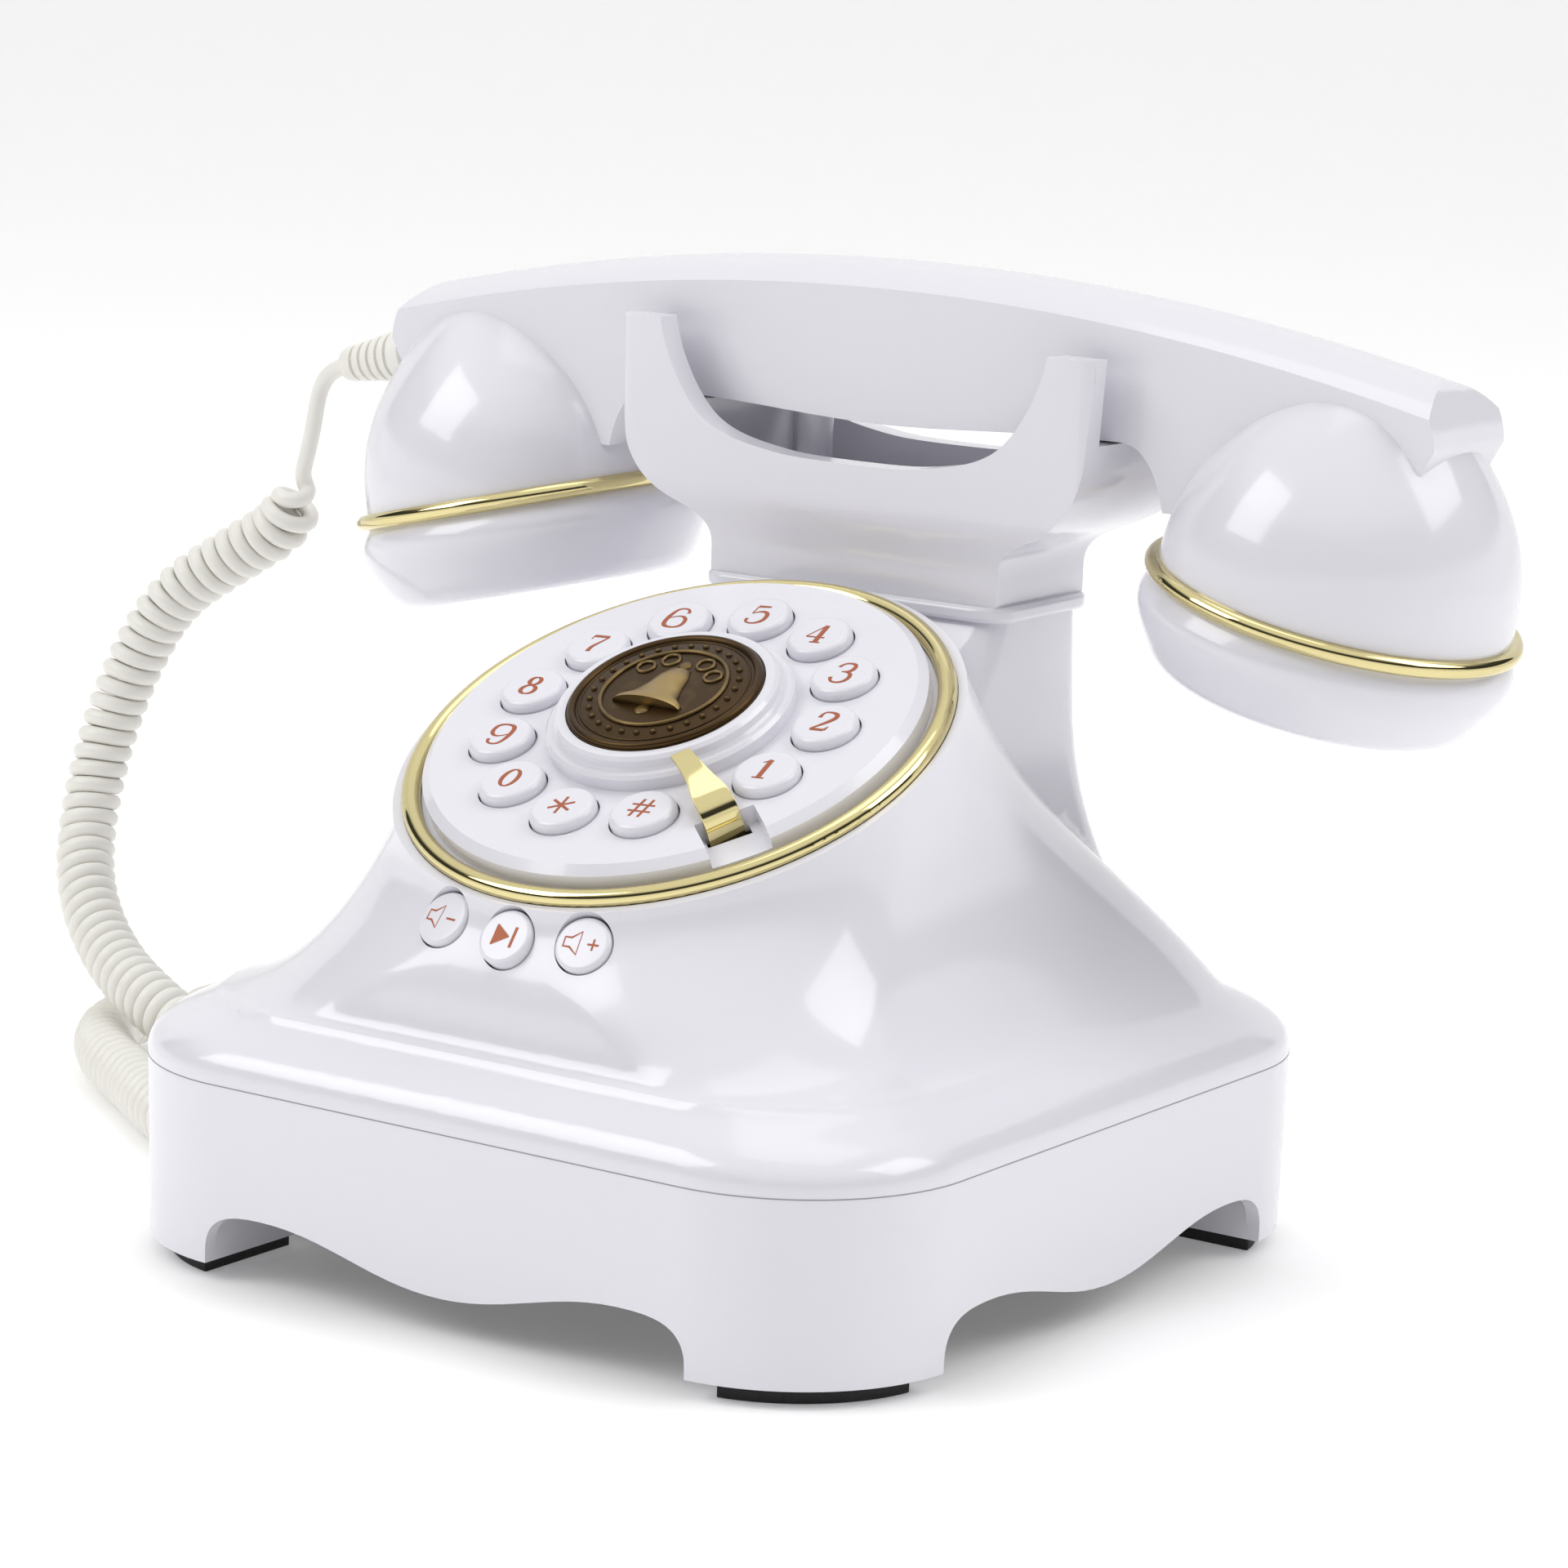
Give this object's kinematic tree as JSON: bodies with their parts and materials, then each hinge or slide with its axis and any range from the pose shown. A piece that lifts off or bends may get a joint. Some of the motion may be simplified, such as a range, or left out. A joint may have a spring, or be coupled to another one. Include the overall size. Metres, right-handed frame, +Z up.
{
  "type": "rotary telephone",
  "caption": "Retro desk telephone with push keys set out like a dial, a cradle, a lift-off handset and a coiled cord.",
  "frame": {"origin": "centre of the base's footprint, on the table", "axes": "+Z up, the dial faces -Y, +X to the telephone's right-hand end as drawn (earpiece side)"},
  "size_m": [0.3087, 0.1679, 0.1695],
  "materials": {
    "ivory_shell": "glossy",
    "ivory_cord": "satin",
    "gold_plate": "polished",
    "antique_bronze": "aged satin",
    "key_plastic": "glossy",
    "black_rubber": "matte",
    "black_plastic": "matte",
    "clear_plastic": "clear, glossy",
    "circuit_board": "solder mask",
    "silicone": "matte",
    "zinc_steel": "zinc plated"
  },
  "bodies": {
    "base": {"base_skirt": "ivory_shell", "rubber_feet": "black_rubber", "base_plate": "black_plastic", "base_screws": "zinc_steel", "upper_housing": "ivory_shell", "neck_collar": "ivory_shell", "cradle": "ivory_shell", "dial_bezel": "gold_plate", "dial_plate": "ivory_shell", "hub_ring": "ivory_shell", "medallion": "antique_bronze", "hub_screw": "zinc_steel", "finger_stop": "gold_plate", "keypad_membrane": "silicone", "keypad_board": "circuit_board", "button_board": "circuit_board", "main_board": "circuit_board", "board_standoffs": "zinc_steel", "ringer_speaker": "black_plastic", "ballast_weight": "zinc_steel", "hook_switch": "black_plastic", "hook_spring": "zinc_steel", "line_jack": "black_plastic", "handset_jack": "black_plastic", "handset_plug": "clear_plastic", "curly_cord": "ivory_cord", "jack_lead": "ivory_cord"},
    "handset": {"handset_upper_shell": "ivory_shell", "handset_lower_shell": "ivory_shell", "mouthpiece_ring": "gold_plate", "earpiece_ring": "gold_plate", "mouthpiece_cap": "ivory_shell", "earpiece_cap": "ivory_shell", "receiver_capsule": "black_plastic", "microphone_capsule": "black_plastic", "handset_weight": "zinc_steel", "handset_screws": "zinc_steel", "strain_relief": "ivory_cord", "handset_lead": "ivory_cord"},
    "hook": {"hook_plunger": "ivory_shell"},
    "key_1_body": {"key_1": "key_plastic"},
    "key_2_body": {"key_2": "key_plastic"},
    "key_3_body": {"key_3": "key_plastic"},
    "key_4_body": {"key_4": "key_plastic"},
    "key_5_body": {"key_5": "key_plastic"},
    "key_6_body": {"key_6": "key_plastic"},
    "key_7_body": {"key_7": "key_plastic"},
    "key_8_body": {"key_8": "key_plastic"},
    "key_9_body": {"key_9": "key_plastic"},
    "key_0_body": {"key_0": "key_plastic"},
    "key_star_body": {"key_star": "key_plastic"},
    "key_hash_body": {"key_hash": "key_plastic"},
    "volume_down_button_body": {"volume_down_button": "key_plastic"},
    "skip_button_body": {"skip_button": "key_plastic"},
    "volume_up_button_body": {"volume_up_button": "key_plastic"}
  },
  "joints": [
    {"name": "handset_lift", "type": "slide", "parent": "base", "child": "handset", "axis": [0, 0, 1], "range_m": [0, 0.06], "deforming": ["curly_cord", "handset_lead"]},
    {"name": "hook_rise", "type": "slide", "parent": "base", "child": "hook", "axis": [0, 0, 1], "range_m": [0, 0.0035], "deforming": ["hook_spring"]},
    {"name": "key_1_press", "type": "slide", "parent": "base", "child": "key_1_body", "axis": [0, 0.4343, -0.9008], "range_m": [0, 0.0012], "stiffness_N_per_m": 700},
    {"name": "key_2_press", "type": "slide", "parent": "base", "child": "key_2_body", "axis": [0, 0.4343, -0.9008], "range_m": [0, 0.0012], "stiffness_N_per_m": 700},
    {"name": "key_3_press", "type": "slide", "parent": "base", "child": "key_3_body", "axis": [0, 0.4343, -0.9008], "range_m": [0, 0.0012], "stiffness_N_per_m": 700},
    {"name": "key_4_press", "type": "slide", "parent": "base", "child": "key_4_body", "axis": [0, 0.4343, -0.9008], "range_m": [0, 0.0012], "stiffness_N_per_m": 700},
    {"name": "key_5_press", "type": "slide", "parent": "base", "child": "key_5_body", "axis": [0, 0.4343, -0.9008], "range_m": [0, 0.0012], "stiffness_N_per_m": 700},
    {"name": "key_6_press", "type": "slide", "parent": "base", "child": "key_6_body", "axis": [0, 0.4343, -0.9008], "range_m": [0, 0.0012], "stiffness_N_per_m": 700},
    {"name": "key_7_press", "type": "slide", "parent": "base", "child": "key_7_body", "axis": [0, 0.4343, -0.9008], "range_m": [0, 0.0012], "stiffness_N_per_m": 700},
    {"name": "key_8_press", "type": "slide", "parent": "base", "child": "key_8_body", "axis": [0, 0.4343, -0.9008], "range_m": [0, 0.0012], "stiffness_N_per_m": 700},
    {"name": "key_9_press", "type": "slide", "parent": "base", "child": "key_9_body", "axis": [0, 0.4343, -0.9008], "range_m": [0, 0.0012], "stiffness_N_per_m": 700},
    {"name": "key_0_press", "type": "slide", "parent": "base", "child": "key_0_body", "axis": [0, 0.4343, -0.9008], "range_m": [0, 0.0012], "stiffness_N_per_m": 700},
    {"name": "key_star_press", "type": "slide", "parent": "base", "child": "key_star_body", "axis": [0, 0.4343, -0.9008], "range_m": [0, 0.0012], "stiffness_N_per_m": 700},
    {"name": "key_hash_press", "type": "slide", "parent": "base", "child": "key_hash_body", "axis": [0, 0.4343, -0.9008], "range_m": [0, 0.0012], "stiffness_N_per_m": 700},
    {"name": "volume_down_button_press", "type": "slide", "parent": "base", "child": "volume_down_button_body", "axis": [0.1249, 0.7888, -0.6018], "range_m": [0, 0.001], "stiffness_N_per_m": 900},
    {"name": "skip_button_press", "type": "slide", "parent": "base", "child": "skip_button_body", "axis": [0, 0.7986, -0.6018], "range_m": [0, 0.001], "stiffness_N_per_m": 900},
    {"name": "volume_up_button_press", "type": "slide", "parent": "base", "child": "volume_up_button_body", "axis": [-0.1249, 0.7888, -0.6018], "range_m": [0, 0.001], "stiffness_N_per_m": 900}
  ],
  "couplings": [
    {"joint": "hook_rise", "follows": "handset_lift", "ratio": 0.058333}
  ]
}
